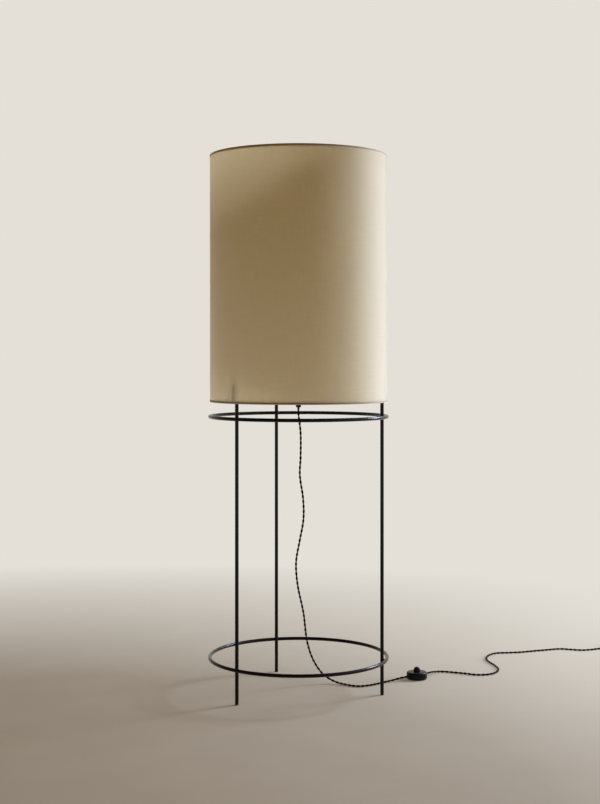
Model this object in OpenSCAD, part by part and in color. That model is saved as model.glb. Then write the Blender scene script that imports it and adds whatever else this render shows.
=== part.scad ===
// Column floor lamp: a tall fabric drum shade on three upright bars and two rings.
// All sizes are in millimetres. The origin is on the floor, under the axis of the shade.
// +Z is up and -Y faces the viewer. The twisted cord runs from the shade to a foot switch,
// leaves to the right, and its spare length lies in a neat coil beside the plug.

/* [Frame] */
// Diameter of the round bar in the legs and in the two rings
bar_d = 10; // [8:0.5:12]
// Direction of the right leg, seen from above, in degrees from +X
leg_turn = -14; // [-25:1:15]
// Height of the middle of the lower ring
lower_ring_z = 96; // [60:1:200]
// Middle of the upper ring, below the shade's bottom edge
upper_ring_drop = 41; // [25:1:80]
// Length of each leg inside the shade
leg_in_shade = 55; // [35:1:120]
// Free gap between a leg and the rolled edge of the shade
leg_gap = 0.9; // [0.6:0.1:3]
// Height of the nylon glide under each leg
glide_h = 3; // [2:0.5:6]
// Diameter of the glide's stem, pressed up into the leg
glide_stem_d = 4; // [3:0.5:4.5]
// Length of the glide's stem
glide_stem_l = 12; // [8:1:20]
// Radius of the weld beads where a ring crosses a leg
weld_r = 5.5; // [4.5:0.1:6.5]

/* [Bridge inside the shade] */
// Height of the hub's lower face above the shade's bottom edge
hub_lift = 4; // [2:0.5:12]
// Diameter of the hub
hub_d = 36; // [30:1:50]
// Height of the hub
hub_h = 10; // [8:0.5:16]
// Diameter of the three bridge arms
arm_d = 6; // [5:0.5:7]
// Outer diameter of the threaded nipple
nipple_d = 10; // [8:0.5:12]
// Bore of the nipple
nipple_bore_d = 7; // [6:0.5:7.5]
// Thickness of the toothed washer
washer_t = 1; // [0.6:0.1:2]
// Thickness of the thin lock nut
nut_h = 3.5; // [2.5:0.5:5]
// Width across flats of the lock nut
nut_af = 14; // [13.5:0.5:17]
// Length of the cord gland
gland_l = 20; // [16:1:30]
// Larger diameter of the cord gland
gland_d = 15; // [14:0.5:22]
// Diameter of the gland's lower mouth rim
gland_mouth_d = 9; // [8:0.5:10]
// Depth of the nipple in the gland
gland_thread_l = 11; // [8:0.5:12]

/* [Lamp holder and bulb] */
// Diameter of the threaded skirt that carries the shade
skirt_d = 39; // [37:0.5:41]
// Height of the holder's bottom cap
holder_cap_h = 24; // [20:1:32]
// Height of the holder's threaded skirt above its shoulder
skirt_h = 28; // [26:1:36]
// Wall of the holder's mouldings
holder_wall = 2.2; // [1.6:0.1:2.6]
// Largest diameter of the bulb
bulb_d = 60; // [45:1:95]
// Height of the bulb above its screw cap
bulb_glass_h = 80; // [75:1:120]
// Outer diameter of the bulb's screw cap
bulb_cap_d = 26; // [26:0.1:26.4]
// Thickness of the glass
glass_t = 0.8; // [0.6:0.1:1.2]

/* [Shade] */
// Outer diameter of the shade
shade_d = 500; // [420:5:560]
// Height of the shade
shade_h = 695; // [400:5:760]
// Height of the shade's bottom edge above the floor
shade_bottom_z = 815; // [780:1:840]
// Thickness of the woven cover
cover_t = 0.6; // [0.4:0.1:1.2]
// Thickness of the stiff white liner
liner_t = 0.5; // [0.3:0.1:0.8]
// Diameter of the two wire rings in the rolled edges
wire_d = 2.4; // [2:0.1:3]
// Height to which the cover is rolled up behind each wire ring
roll_h = 7; // [5:0.5:12]
// Diameter of the three arms of the shade carrier
spider_arm_d = 3; // [2.5:0.5:4]
// Outer diameter of the carrier's middle ring
spider_ring_d = 56; // [54:1:64]
// Thickness of the carrier's middle ring
spider_ring_t = 1.5; // [1:0.1:2.5]
// Height of the threaded ring that clamps the carrier
shade_nut_h = 8; // [6:0.5:12]
// Outer diameter of that threaded ring
shade_nut_d = 52; // [48:1:60]

/* [Foot switch] */
// Place of the switch's middle, to the right of the axis
switch_x = 346; // [340:1:352]
// Place of the switch's middle, behind the axis
switch_y = 137; // [131:1:143]
// Direction of its cord line, in degrees from +X
switch_turn = 35; // [30:1:40]
// Diameter of the switch
switch_d = 60; // [56:1:70]
// Height of its flat deck above the floor
switch_h = 22; // [20:0.5:26]
// Height at which the cord enters, and at which base and cover meet
switch_split_z = 11.5; // [10:0.5:12]
// Wall of the base and the cover
switch_wall = 2; // [1.6:0.1:2.4]
// Diameter of the push button
button_d = 19; // [16:0.5:21]
// Height of the button above the deck, at rest
button_rise = 14; // [12:0.5:16]
// Travel of the button
button_travel = 4; // [2:0.5:4]
// Gap all round the button where it passes through the cover
button_gap = 0.3; // [0.2:0.05:0.6]

/* [Cord and plug] */
// Overall diameter of the twisted cord
cord_d = 6.4; // [5.6:0.2:6.6]
// Diameter of a plug pin
pin_d = 4; // [3.8:0.1:4.8]
// Length of a plug pin
pin_l = 19; // [17:0.5:20]
// Distance between the two pins
pin_spacing = 18.6; // [18:0.2:19.2]
// Width of the plug's body
plug_w = 35; // [32:0.5:38]
// Thickness of the plug's body
plug_t = 13.6; // [12:0.2:16]
// Length of the plug's body
plug_l = 36; // [30:1:42]
// Length of the plug's tapered strain relief
relief_l = 26; // [20:1:40]

/* [Hidden] */
$fn = 96;

black = "#1c1c1b";
steel = "#b9bcbe";
brass = "#b79a5b";
linen = "#b59f74";
white = "#eeebe2";

// Small overlap that lets a cutter pass a face
cut = 1;
// Clearance of a stem or a thread in its hole, all round
fit_gap = 0.05;
// Clearance all round a piece that is dropped in place
loose_gap = 0.2;

// Shade, from the outside in
shade_r = shade_d / 2;
shade_top_z = shade_bottom_z + shade_h;
liner_r = shade_r - cover_t;
wire_outer_r = liner_r - liner_t;
wire_r = wire_outer_r - wire_d / 2;
roll_r = wire_outer_r - wire_d - cover_t;
bottom_wire_z = shade_bottom_z + cover_t + wire_d / 2;
top_wire_z = shade_top_z - cover_t - wire_d / 2;

// Frame
leg_dirs = [leg_turn - 120, leg_turn, leg_turn + 120];
leg_circle_r = roll_r - leg_gap - bar_d / 2;
leg_top_z = shade_bottom_z + leg_in_shade;
leg_tip_r = 1.5;
ring_r = leg_circle_r + bar_d;
upper_ring_z = shade_bottom_z - upper_ring_drop;
contact_r = leg_circle_r + bar_d / 2;
weld_split = 1.5;
weld_ring_steps = 720;
glide_edge_r = 1;

// Bridge and the stack on the axis, from the cord gland up
hub_z = shade_bottom_z + hub_lift;
hub_chamfer = 1;
arm_z = hub_z + hub_h / 2;
gland_z = hub_z - gland_l;
gland_collar_h = 2;
gland_floor_t = 1.5;
hub_top_z = hub_z + hub_h;
washer_rim = 4;
washer_teeth = 12;
washer_notch_r = 0.8;
nut_z = hub_top_z + washer_t;
holder_z = nut_z + nut_h;
nipple_z = hub_z - gland_thread_l;
nipple_in_cap = 6;
nipple_l = holder_z + nipple_in_cap - nipple_z;
lead_d = 2.4;
lead_spacing = 3;

// Lamp holder
shoulder_h = 4;
shoulder_r = skirt_d / 2 + 2.4;
cap_inset = 1;
cap_round = 7;
cap_base_h = 5;
skirt_z = holder_z + holder_cap_h;
shoulder_z = skirt_z + shoulder_h;
insert_h = 9;
insert_z = shoulder_z - insert_h;
insert_r = skirt_d / 2 - holder_wall - loose_gap;
terminal_x = 10;
terminal_screw_r = 1.5;
terminal_screw_l = 6;
terminal_head_r = 3;
terminal_head_h = 2;
thread_pitch = 3.6;
thread_depth = 1;
thread_steps = 36;
thread_h = skirt_h - 4;
shell_t = 0.4;
shell_gap = 0.3;
shell_bore_r = bulb_cap_d / 2 + shell_gap;
leaf_w = 6;
leaf_t = 0.5;

// Bulb, from its tip up
bulb_z = shoulder_z + 3;
tip_h = 3;
tip_r = 4.7;
bulb_cap_h = 24;
bulb_neck_z = bulb_z + tip_h + bulb_cap_h;
bulb_neck_r = bulb_cap_d / 2 - shell_t - 0.4;
neck_depth = 2;
bulb_mid_z = bulb_neck_z + bulb_glass_h - bulb_d / 2;
stem_r = 4;
stem_h = 34;
filament_count = 4;
filament_d = 1.6;
filament_l = 30;
filament_circle_r = 8;

// Shade carrier
spider_z = shoulder_z;
spider_ring_bore_d = skirt_d + 2 * loose_gap;
spider_dirs = [leg_turn + 60, leg_turn + 180, leg_turn + 300];
spider_start_r = spider_ring_d / 2 - 1;
spider_start_z = spider_z + spider_ring_t / 2;
spider_end_r = wire_r - wire_d / 2;
spider_end_z = bottom_wire_z + 0.5;
spider_run = spider_end_r - spider_start_r;
spider_drop = spider_start_z - spider_end_z;
spider_l = norm([spider_run, spider_drop]);
spider_slope = atan2(spider_drop, spider_run);
nut_grips = 24;
nut_grip_r = 1.5;

// Foot switch, in its own frame: x runs along the cord, z = 0 is the floor
switch_r = switch_d / 2;
deck_edge_r = 5;
base_edge_r = 6;
post_foot_z = 1;
deck_z = switch_h - switch_wall;
case_screw_y = 21;
case_screw_d = 2.8;
case_screw_l = 12;
case_head_r = 2.6;
case_head_z = 0.3;
case_head_h = 1;
boss_r = 3.2;
cord_hole_d = cord_d + 2 * loose_gap;
block_l = 40;
block_w = 17;
block_h = 5;
block_z = switch_wall;
block_top_z = block_z + block_h;
stop_t = 2;
stop_w = 9;
stop_h = switch_split_z + cord_d / 2 - block_z;
strip_in_x = 1.9;
strip_out_x = 16;
strip_w = 3;
strip_t = 0.6;
strip_z = block_top_z - 1;
clamp_x = 23.75;
clamp_w = 4.5;
clamp_l = 16;
clamp_t = 2;
clamp_z = switch_split_z + cord_d / 2 + loose_gap;
clamp_screw_y = 5.8;
clamp_screw_r = 1;
clamp_screw_l = 8;
clamp_head_r = 1.9;
clamp_head_h = 1.6;
post_r = 1.8;

// Button, plunger, spring and rotor
button_r = button_d / 2;
button_dome_r = 9;
button_flange_r = button_r + 1.6;
button_flange_t = 1.6;
button_flange_z = deck_z - loose_gap - button_flange_t;
button_cavity_r = 7.5;
button_seat_z = deck_z + 2;
rotor_pin_r = 1.5;
rotor_gap = 0.3;
rotor_z = block_top_z + rotor_gap;
rotor_t = 2;
rotor_r = 5.5;
rotor_lobes = 4;
rotor_lobe_w = 2.4;
plunger_r = 4;
plunger_bore_r = 2;
plunger_z = rotor_z + rotor_t + rotor_gap + button_travel;
rotor_pin_z = plunger_z - 1;
spring_r = 6.6;
spring_wire_d = 0.9;
spring_turns = 5;
spring_steps = 8;
spring_z = block_top_z;

function switch_point(x) = [
    switch_x + x * cos(switch_turn), switch_y + x * sin(switch_turn), switch_split_z
];

// Coil: two layers that spiral in and out again, with the climb where the spiral turns
cord_r = cord_d / 2;
coil_x = 1030;
coil_y = 595;
coil_r = 40;
coil_gap = 0.5;
coil_loops = 4;
coil_rings = 24;
coil_sides = 6;
coil_pitch = cord_d + coil_gap;
coil_turn_back = 2.25;
coil_lead = [7, 0, 0];

// Coil centreline: u counts the turns from the outer end of the lower layer
function coil_radius(u) = coil_r - coil_pitch * (u < coil_turn_back ? u : 2 * coil_turn_back - u);
function coil_climb(u) = min(1, max(0, (u - coil_turn_back + 0.25) / 0.5));
function coil_point(u) = [
    coil_x + coil_radius(u) * sin(360 * u),
    coil_y - coil_radius(u) * cos(360 * u),
    cord_r + coil_pitch * coil_climb(u)
];
coil_start = coil_point(0) - coil_lead;
coil_end = coil_point(coil_loops) + coil_lead;

// Plug
plug_x = 1092;
plug_y = 612;
plug_z = plug_t / 2;
plug_taper = 7;
relief_ribs = 4;
rib_depth = 0.7;
pin_tip_r = 1.5;

// Cord routes: the points are chosen by hand, and the ends are those of the pieces they meet
route_step = 28;
tube_sides = 10;
lamp_route = [
    [0, 0, gland_z], [0, 0, 780], [6, 4, 725], [6, 8, 660], [4, 12, 605], [13, 16, 540], [14, 20, 480],
    [3, 25, 417], [-7, 31, 355], [-2, 38, 288], [14, 49, 210], [24, 63, 128], [42, 74, 70],
    [70, 79, 28], [104, 76, 7], [140, 50, 3.2], [172, 33, 3.2], [208, 48, 3.2], [245, 81, 3.2],
    [272, 98, 5], [297, 108, 9.5], switch_point(-38), switch_point(-block_l / 2)
];
mains_route = [
    switch_point(block_l / 2), switch_point(36), [392, 184, 9], [410, 209, 5], [430, 220, 3.2],
    [459, 210, 3.2], [493, 195, 3.2], [528, 177, 3.2], [565, 184, 3.2], [590, 214, 3.2],
    [601, 260, 3.2], [596, 311, 3.2], [585, 360, 3.2], [584, 406, 3.2], [600, 452, 3.2],
    [628, 481, 3.2], [665, 487, 3.2], [705, 495, 3.2], [745, 511, 3.2], [790, 528, 3.2],
    [838, 545, 3.2], [875, 535, 3.2], [905, 526, 3.2], [935, 533, 3.2], [965, 547, 3.2],
    [992, 554, 3.2], coil_start - coil_lead, coil_start
];
tail_route = [
    coil_end, coil_end + coil_lead, [1071, 563, 8.5], [1087, 578, 7], [1092, 598, 6.8],
    [plug_x, plug_y, plug_z]
];

// ---- Helpers ----

function unit(v) = v / norm(v);

// Point on the smooth curve between b and c; a and d are the neighbours
function curve_point(a, b, c, d, t) =
    0.5 * ((2 * b) + (c - a) * t + (2 * a - 5 * b + 4 * c - d) * t * t + (3 * b - a - 3 * c + d) * t * t * t);

function lifted(p) = [p[0], p[1], max(p[2], cord_r)];

// Smooth route through hand-chosen points, no lower than the floor allows
function smooth_route(pts) = concat(
    [for (i = [0 : len(pts) - 2])
        let (a = i > 0 ? pts[i - 1] : 2 * pts[0] - pts[1])
        let (d = i < len(pts) - 2 ? pts[i + 2] : 2 * pts[i + 1] - pts[i])
        let (steps = max(1, round(norm(pts[i + 1] - pts[i]) / route_step)))
        for (s = [0 : steps - 1]) lifted(curve_point(a, pts[i], pts[i + 1], d, s / steps))],
    [pts[len(pts) - 1]]
);

function direction(pts, i) = unit(pts[min(i + 1, len(pts) - 1)] - pts[max(i - 1, 0)]);

// Side vectors carried along the route without twist
function first_side(t) = unit(abs(t[2]) > 0.9 ? cross(t, [0, 1, 0]) : cross(t, [0, 0, 1]));
function flat_side(n, t) = unit(n - (n * t) * t);
function route_sides(pts) = [
    for (i = 0, n = first_side(direction(pts, 0));
         i < len(pts);
         i = i + 1, n = i < len(pts) ? flat_side(n, direction(pts, i)) : n) n
];

// One closed tube along a list of points
module tube_along(pts, radius, sides) {
    count = len(pts);
    side_dirs = route_sides(pts);
    skin = [for (i = [0 : count - 1])
        let (t = direction(pts, i), n = side_dirs[i], b = cross(t, n))
        for (k = [0 : sides - 1]) pts[i] + radius * (cos(360 * k / sides) * n + sin(360 * k / sides) * b)];
    walls = [for (i = [0 : count - 2]) for (k = [0 : sides - 1])
        let (p = i * sides + k, q = i * sides + (k + 1) % sides)
        for (f = [[p, p + sides, q + sides], [p, q + sides, q]]) f];
    start_cap = [for (k = [1 : sides - 2]) [0, k, k + 1]];
    last = (count - 1) * sides;
    end_cap = [for (k = [1 : sides - 2]) [last, last + k + 1, last + k]];
    polyhedron(points = skin, faces = concat(walls, start_cap, end_cap), convexity = 6);
}

function route_length(pts) = len(pts) < 2 ? 0 : sum_steps(pts, 0);
function sum_steps(pts, i) = i >= len(pts) - 1 ? 0 : norm(pts[i + 1] - pts[i]) + sum_steps(pts, i + 1);

coil_curve = [for (i = [0 : coil_loops * coil_rings]) coil_point(i / coil_rings)];
coil_points = concat([coil_start], coil_curve, [coil_end]);
coil_near = round(coil_rings / 2);
coil_least_gap = min([for (i = [0 : len(coil_curve) - 1])
    for (j = [i + coil_near : 1 : len(coil_curve) - 1]) norm(coil_curve[i] - coil_curve[j])]) - cord_d;

echo(coil_least_gap = coil_least_gap);
echo(lamp_cord_length = route_length(smooth_route(lamp_route)));
echo(mains_cord_length = route_length(smooth_route(mains_route)));
echo(coil_length = route_length(coil_points));
echo(tail_length = route_length(smooth_route(tail_route)));
echo(cord_rings = len(concat(smooth_route(lamp_route), smooth_route(mains_route), smooth_route(tail_route))));

// Round profile turned about the Z axis
module turned(profile) {
    rotate_extrude() polygon(profile);
}

// Quarter arc as a list of points, from angle a to angle b about [x, y]
function arc(x, y, r, a, b, n = 8) = [
    for (i = [0 : n]) let (angle = a + (b - a) * i / n) [x + r * cos(angle), y + r * sin(angle)]
];

// Hollow cylinder that stands at height z
module pipe(outer_d, inner_d, h, z = 0) {
    translate([0, 0, z]) difference() {
        cylinder(d = outer_d, h = h);
        translate([0, 0, -cut]) cylinder(d = inner_d, h = h + 2 * cut);
    }
}

module around(dirs) {
    for (a = dirs) rotate([0, 0, a]) children();
}

module at_switch() {
    translate([switch_x, switch_y, 0]) rotate([0, 0, switch_turn]) children();
}

// ---- Frame ----

module leg(i) {
    stem_hole_d = glide_stem_d + 2 * fit_gap;
    color(black) rotate([0, 0, leg_dirs[i]]) translate([leg_circle_r, 0, 0]) difference() {
        turned(concat(
            [[0, glide_h], [bar_d / 2, glide_h]],
            arc(bar_d / 2 - leg_tip_r, leg_top_z - leg_tip_r, leg_tip_r, 0, 90),
            [[0, leg_top_z]]
        ));
        translate([0, 0, glide_h - cut]) cylinder(d = stem_hole_d, h = glide_stem_l + fit_gap + cut);
    }
}

module glide(i) {
    foot_r = bar_d / 2;
    color("#111111") rotate([0, 0, leg_dirs[i]]) translate([leg_circle_r, 0, 0]) turned(concat(
        [[0, 0]],
        arc(foot_r - glide_edge_r, glide_edge_r, glide_edge_r, -90, 0),
        [[foot_r, glide_h], [glide_stem_d / 2, glide_h], [glide_stem_d / 2, glide_h + glide_stem_l],
            [0, glide_h + glide_stem_l]]
    ));
}

module bar_ring(z) {
    color(black) translate([0, 0, z]) rotate_extrude() translate([ring_r, 0]) circle(d = bar_d);
}

// Weld beads above and below the line on which a ring crosses each leg
module ring_welds(z) {
    block = 2 * bar_d;
    cut_d = bar_d + 2 * fit_gap;
    color(black) around(leg_dirs) for (side = [0, 1]) translate([0, 0, z]) mirror([0, 0, side]) difference() {
        translate([contact_r, 0, 0]) sphere(r = weld_r);
        translate([contact_r - bar_d, -bar_d, weld_split - block]) cube(block);
        translate([leg_circle_r, 0, -bar_d]) cylinder(d = cut_d, h = block);
        rotate_extrude($fn = weld_ring_steps) translate([ring_r, 0]) circle(d = cut_d);
    }
}

// ---- Bridge and the stack on the axis ----

module bridge_hub() {
    r = hub_d / 2;
    hole_r = nipple_d / 2 + loose_gap;
    color(black) translate([0, 0, hub_z]) turned([
        [hole_r, 0], [r - hub_chamfer, 0], [r, hub_chamfer],
        [r, hub_h - hub_chamfer], [r - hub_chamfer, hub_h], [hole_r, hub_h]
    ]);
}

module bridge_arms() {
    color(black) around(leg_dirs) difference() {
        translate([0, 0, arm_z]) rotate([0, 90, 0]) cylinder(d = arm_d, h = leg_circle_r);
        translate([0, 0, hub_z - cut]) cylinder(d = hub_d, h = hub_h + 2 * cut);
        translate([leg_circle_r, 0, arm_z - bar_d]) cylinder(d = bar_d, h = 2 * bar_d);
    }
}

module nipple() {
    color(steel) pipe(nipple_d, nipple_bore_d, nipple_l, nipple_z);
}

module toothed_washer() {
    outer_r = nipple_d / 2 + washer_rim;
    color(steel) difference() {
        pipe(2 * outer_r, nipple_d + 2 * loose_gap, washer_t, hub_top_z);
        for (i = [0 : washer_teeth - 1]) rotate([0, 0, 360 * i / washer_teeth])
            translate([outer_r, 0, hub_top_z - cut])
                cylinder(r = washer_notch_r, h = washer_t + 2 * cut, $fn = 24);
    }
}

module lock_nut() {
    color(steel) translate([0, 0, nut_z]) difference() {
        cylinder(d = nut_af / cos(30), h = nut_h, $fn = 6);
        translate([0, 0, -cut]) cylinder(d = nipple_d + 2 * fit_gap, h = nut_h + 2 * cut);
    }
}

// Gland with a chamfered lower edge: the cord leaves its mouth, the two leads go up through its floor
module cord_gland() {
    hole_r = nipple_d / 2 + fit_gap;
    color("#111111") translate([0, 0, gland_z]) difference() {
        turned([
            [0, 0], [gland_mouth_d / 2, 0], [gland_d / 2, gland_collar_h],
            [gland_d / 2, gland_l], [hole_r, gland_l], [hole_r, gland_l - gland_thread_l],
            [nipple_bore_d / 2, gland_l - gland_thread_l], [nipple_bore_d / 2, gland_floor_t],
            [0, gland_floor_t]
        ]);
        lead_pair(lead_d + 2 * loose_gap, -cut, gland_floor_t + 2 * cut);
    }
}

module lead_pair(d, z, h) {
    for (s = [-1, 1]) translate([s * lead_spacing / 2, 0, z]) cylinder(d = d, h = h, $fn = 24);
}

module holder_leads() {
    color("#8a5a3c") lead_pair(lead_d, gland_z, insert_z - gland_z);
}

// ---- Lamp holder ----

module holder_cap() {
    r = shoulder_r - cap_inset;
    hole_r = nipple_d / 2 + fit_gap;
    color("#151515") translate([0, 0, holder_z]) turned(concat(
        [[hole_r, 0]],
        arc(r - cap_round, cap_round, cap_round, -90, 0),
        [[r, holder_cap_h], [r - holder_wall, holder_cap_h], [r - holder_wall, cap_round + 2],
            [r - cap_round, cap_base_h], [hole_r, cap_base_h]]
    ));
}

module holder_skirt() {
    bore_r = skirt_d / 2 - holder_wall;
    color("#151515") translate([0, 0, skirt_z]) turned([
        [bore_r, 0], [shoulder_r, 0], [shoulder_r, shoulder_h], [skirt_d / 2, shoulder_h],
        [skirt_d / 2, shoulder_h + skirt_h], [bore_r, shoulder_h + skirt_h]
    ]);
}

module holder_insert() {
    screw_hole_r = terminal_screw_r + fit_gap;
    color(white) translate([0, 0, insert_z]) difference() {
        cylinder(r = insert_r, h = insert_h);
        for (s = [-1, 1]) translate([s * terminal_x, 0, -cut])
            cylinder(r = screw_hole_r, h = terminal_screw_l + cut, $fn = 24);
    }
}

// Side of a thread of rounded grooves; heights are counted from the holder's shoulder
function thread_wave(z) = thread_depth / 2 * (cos(360 * z / thread_pitch) - 1);
function thread_side(r, low, high) = [
    for (i = [0 : thread_steps]) let (z = low + (high - low) * i / thread_steps) [r + thread_wave(z), z]
];
function reversed(pts) = [for (i = [len(pts) - 1 : -1 : 0]) pts[i]];

module threaded_shell() {
    color(brass) translate([0, 0, shoulder_z]) turned(concat(
        thread_side(shell_bore_r + shell_t, 0, thread_h),
        reversed(thread_side(shell_bore_r, 0, thread_h))
    ));
}

// Brass strip that springs up under the tip of the bulb
module centre_contact() {
    top = bulb_z - shoulder_z;
    color(brass) translate([0, leaf_w / 2, shoulder_z]) rotate([90, 0, 0]) linear_extrude(leaf_w) polygon([
        [-6, 0], [6, 0], [6, leaf_t], [-4, leaf_t], [2, top - leaf_t], [4, top - leaf_t],
        [4, top], [1.8, top], [-6, leaf_t + 0.3]
    ]);
}

module terminal_screws() {
    color(steel) for (s = [-1, 1]) translate([s * terminal_x, 0, insert_z]) {
        translate([0, 0, -terminal_head_h]) cylinder(r = terminal_head_r, h = terminal_head_h, $fn = 32);
        cylinder(r = terminal_screw_r, h = terminal_screw_l - 1, $fn = 24);
    }
}

// ---- Bulb ----

// Outline of the glass, drawn inwards by off
function glass_side(off) = let (
    neck_r = bulb_neck_r - off,
    ball_r = bulb_d / 2 - off,
    low = bulb_neck_z - neck_depth,
    join = -40,
    p0 = [neck_r, low + 2],
    p2 = [ball_r * cos(join), bulb_mid_z + ball_r * sin(join)],
    p1 = [neck_r, p2[1] - (p2[0] - neck_r) / tan(-join)]
) concat(
    [[neck_r, low]],
    [for (i = [0 : 8]) let (t = i / 8) (1 - t) * (1 - t) * p0 + 2 * t * (1 - t) * p1 + t * t * p2],
    [for (i = [1 : 16]) let (a = join + (90 - join) * i / 16) [ball_r * cos(a), bulb_mid_z + ball_r * sin(a)]]
);

module bulb_glass() {
    color("#f4f1e6") turned(concat(glass_side(0), reversed(glass_side(glass_t))));
}

module bulb_cap() {
    outer_r = bulb_cap_d / 2;
    low = bulb_z + tip_h - shoulder_z;
    rim_z = low + bulb_cap_h;
    color(steel) translate([0, 0, shoulder_z]) turned(concat(
        thread_side(outer_r, low, thread_h),
        [[outer_r, rim_z], [outer_r - shell_t, rim_z]],
        reversed(thread_side(outer_r - shell_t, low, thread_h))
    ));
}

module bulb_tip() {
    color("#2b2b2b") translate([0, 0, bulb_z]) turned([
        [0, 0], [tip_r, 0], [tip_r, 1], [bulb_cap_d / 2 - thread_depth, tip_h], [0, tip_h]
    ]);
}

module bulb_stem() {
    foot_r = bulb_neck_r - glass_t - fit_gap;
    plate_z = bulb_neck_z + stem_h;
    foot_z = bulb_neck_z - neck_depth;
    color("#e8ece9") turned([
        [0, foot_z], [foot_r, foot_z], [foot_r, foot_z + 1.5], [stem_r, foot_z + 7],
        [stem_r - 1, plate_z - 3],
        [filament_circle_r + 1.5, plate_z - 0.8], [filament_circle_r + 1.5, plate_z], [0, plate_z]
    ]);
}

module bulb_filaments() {
    color("#e2b23c") for (i = [0 : filament_count - 1]) rotate([0, 0, 360 * i / filament_count])
        translate([filament_circle_r, 0, bulb_neck_z + stem_h])
            cylinder(d = filament_d, h = filament_l, $fn = 16);
}

// ---- Shade ----

module spider_arm(d) {
    translate([spider_start_r, 0, spider_start_z]) rotate([0, 90 + spider_slope, 0])
        cylinder(d = d, h = spider_l);
}

module wire_ring(z, d) {
    translate([0, 0, z]) rotate_extrude() translate([wire_r, 0]) circle(d = d, $fn = 32);
}

// The cover is rolled round both wire rings; it is slit where the carrier's arms come in
module shade_cover() {
    roll_in = roll_r + cover_t;
    low = shade_bottom_z;
    top = shade_top_z;
    color(linen) difference() {
        turned([
            [shade_r, low], [shade_r, top], [roll_r, top], [roll_r, top - roll_h], [roll_in, top - roll_h],
            [roll_in, top - cover_t], [liner_r, top - cover_t], [liner_r, low + cover_t],
            [roll_in, low + cover_t], [roll_in, low + roll_h], [roll_r, low + roll_h], [roll_r, low]
        ]);
        around(spider_dirs) spider_arm(spider_arm_d + 2 * fit_gap);
    }
}

module shade_liner() {
    z = shade_bottom_z + cover_t + fit_gap;
    color(white) pipe(2 * (liner_r - fit_gap), 2 * wire_outer_r, shade_top_z - cover_t - fit_gap - z, z);
}

module top_wire_ring() {
    color(steel) wire_ring(top_wire_z, wire_d - 2 * fit_gap);
}

module bottom_wire_ring() {
    color(steel) wire_ring(bottom_wire_z, wire_d - 2 * fit_gap);
}

module spider_arms() {
    color(white) around(spider_dirs) difference() {
        spider_arm(spider_arm_d);
        translate([0, 0, spider_z]) cylinder(d = spider_ring_d, h = spider_ring_t);
        wire_ring(bottom_wire_z, wire_d);
    }
}

module spider_ring() {
    color(white) pipe(spider_ring_d, spider_ring_bore_d, spider_ring_t, spider_z);
}

module shade_nut() {
    z = spider_z + spider_ring_t;
    color("#151515") difference() {
        pipe(shade_nut_d, skirt_d + 2 * fit_gap, shade_nut_h, z);
        for (i = [0 : nut_grips - 1]) rotate([0, 0, 360 * i / nut_grips])
            translate([shade_nut_d / 2 + nut_grip_r / 2, 0, z - cut])
                cylinder(r = nut_grip_r, h = shade_nut_h + 2 * cut, $fn = 24);
    }
}

// ---- Foot switch ----

// Holes for the cord through both ends of the housing
module cord_holes() {
    for (s = [0, 180]) rotate([0, 0, s]) translate([switch_r - switch_wall - 2, 0, switch_split_z])
        rotate([0, 90, 0]) cylinder(d = cord_hole_d, h = switch_wall + 4, $fn = 48);
}

module at_clamps() {
    for (sx = [-1, 1]) for (sy = [-1, 1]) translate([sx * clamp_x, sy * clamp_screw_y, 0]) children();
}

module at_case_screws() {
    for (sy = [-1, 1]) translate([0, sy * case_screw_y, 0]) children();
}

module switch_base() {
    in_r = switch_r - switch_wall;
    color("#1a1a19") at_switch() difference() {
        union() {
            turned(concat(
                [[0, 0]],
                arc(switch_r - base_edge_r, base_edge_r, base_edge_r, -90, 0),
                [[switch_r, switch_split_z], [in_r, switch_split_z]],
                reversed(arc(switch_r - base_edge_r, base_edge_r, base_edge_r - switch_wall, -90, 0)),
                [[0, switch_wall]]
            ));
            at_clamps() translate([0, 0, post_foot_z])
                cylinder(r = post_r, h = clamp_z - post_foot_z, $fn = 32);
        }
        cord_holes();
        at_clamps() translate([0, 0, switch_wall])
            cylinder(r = clamp_screw_r + fit_gap, h = clamp_z, $fn = 24);
        at_case_screws() translate([0, 0, -cut]) {
            cylinder(r = case_screw_d / 2 + loose_gap, h = switch_wall + 2 * cut);
            cylinder(r = case_head_r + loose_gap, h = case_head_z + case_head_h + cut);
        }
    }
}

module switch_cover() {
    in_r = switch_r - switch_wall;
    hole_r = button_r + button_gap;
    in_edge_r = deck_edge_r - switch_wall;
    color("#1a1a19") at_switch() difference() {
        union() {
            turned(concat(
                [[switch_r, switch_split_z]],
                arc(switch_r - deck_edge_r, switch_h - deck_edge_r, deck_edge_r, 0, 90),
                [[hole_r, switch_h], [hole_r, deck_z]],
                reversed(arc(in_r - in_edge_r, deck_z - in_edge_r, in_edge_r, 0, 90)),
                [[in_r, switch_split_z]]
            ));
            at_case_screws() translate([0, 0, switch_wall])
                cylinder(r = boss_r, h = deck_z - switch_wall + 0.5);
        }
        cord_holes();
        at_case_screws() cylinder(r = case_screw_d / 2 + fit_gap, h = case_screw_l + cut);
    }
}

module switch_button() {
    top = switch_h + button_rise;
    flange_z = button_flange_z + button_flange_t;
    seat_z = button_seat_z;
    color("#0f0f0f") at_switch() turned(concat(
        [[plunger_bore_r, plunger_z], [plunger_r, plunger_z], [plunger_r, seat_z],
            [button_cavity_r, seat_z], [button_cavity_r, button_flange_z],
            [button_flange_r, button_flange_z], [button_flange_r, flange_z], [button_r, flange_z]],
        arc(button_r - button_dome_r, top - button_dome_r, button_dome_r, 0, 90),
        [[0, top], [0, seat_z], [plunger_bore_r, seat_z]]
    ));
}

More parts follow.
